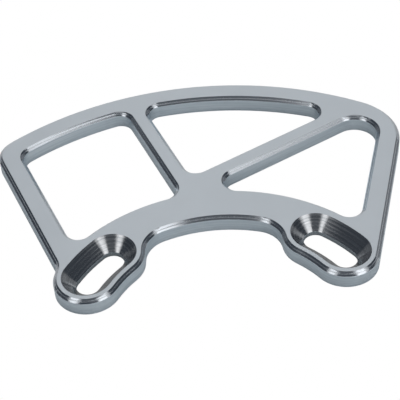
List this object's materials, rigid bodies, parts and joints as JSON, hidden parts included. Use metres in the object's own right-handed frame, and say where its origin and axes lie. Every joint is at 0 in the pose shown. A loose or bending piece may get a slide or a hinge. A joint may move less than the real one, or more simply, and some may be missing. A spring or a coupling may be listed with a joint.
{
  "type": "chainring guard",
  "caption": "Flat milled sector plate with chamfered edges, open windows and countersunk curved slots, bolted beside a bicycle chainring to guard it.",
  "frame": {"origin": "under the middle of the plate's box, on its flat back face", "axes": "+Z out of the chamfered front face, +Y from the crank axis towards the rim, +X along the rim"},
  "size_m": [0.0944, 0.0686, 0.004],
  "materials": {
    "milled_aluminium": "satin bead-blasted grey face with bright machined chamfers"
  },
  "bodies": {
    "root": {"guard_plate": "milled_aluminium"}
  },
  "joints": []
}
